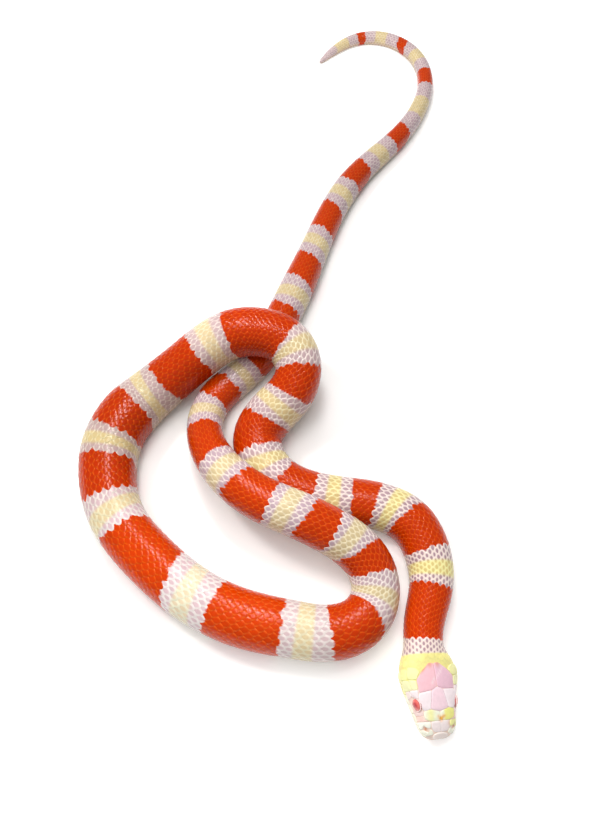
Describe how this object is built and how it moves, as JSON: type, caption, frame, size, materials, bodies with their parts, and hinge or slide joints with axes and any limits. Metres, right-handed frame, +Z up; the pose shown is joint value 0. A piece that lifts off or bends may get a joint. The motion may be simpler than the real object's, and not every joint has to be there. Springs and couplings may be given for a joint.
{
  "type": "milk snake",
  "caption": "Life-size milk snake of the albino form lying still in loose coils, head on the floor, with a long tapering tail and red, white and yellow bands.",
  "frame": {"origin": "middle of the part's box on the floor, with the belly resting at z = 0", "axes": "+X to the right and +Y away from the snout, as the picture shows the snake, +Z up"},
  "size_m": [0.1634, 0.3795, 0.0328],
  "materials": {
    "head_skin": "smooth glossy scales",
    "red_skin": "smooth glossy scales",
    "pale_skin": "smooth glossy scales",
    "eye": "wet gloss"
  },
  "bodies": {
    "root": {"head": "head_skin", "lower_jaw": "head_skin", "eye_left": "eye", "eye_right": "eye", "neck": "pale_skin", "trunk_01": "red_skin", "trunk_02": "pale_skin", "trunk_03": "red_skin", "trunk_04": "pale_skin", "trunk_05": "red_skin", "trunk_06": "pale_skin", "trunk_07": "red_skin", "trunk_08": "pale_skin", "trunk_09": "red_skin", "trunk_10": "pale_skin", "trunk_11": "red_skin", "trunk_12": "pale_skin", "trunk_13": "red_skin", "tail_base": "pale_skin", "tail_middle": "red_skin", "tail_tip": "pale_skin"}
  },
  "joints": []
}
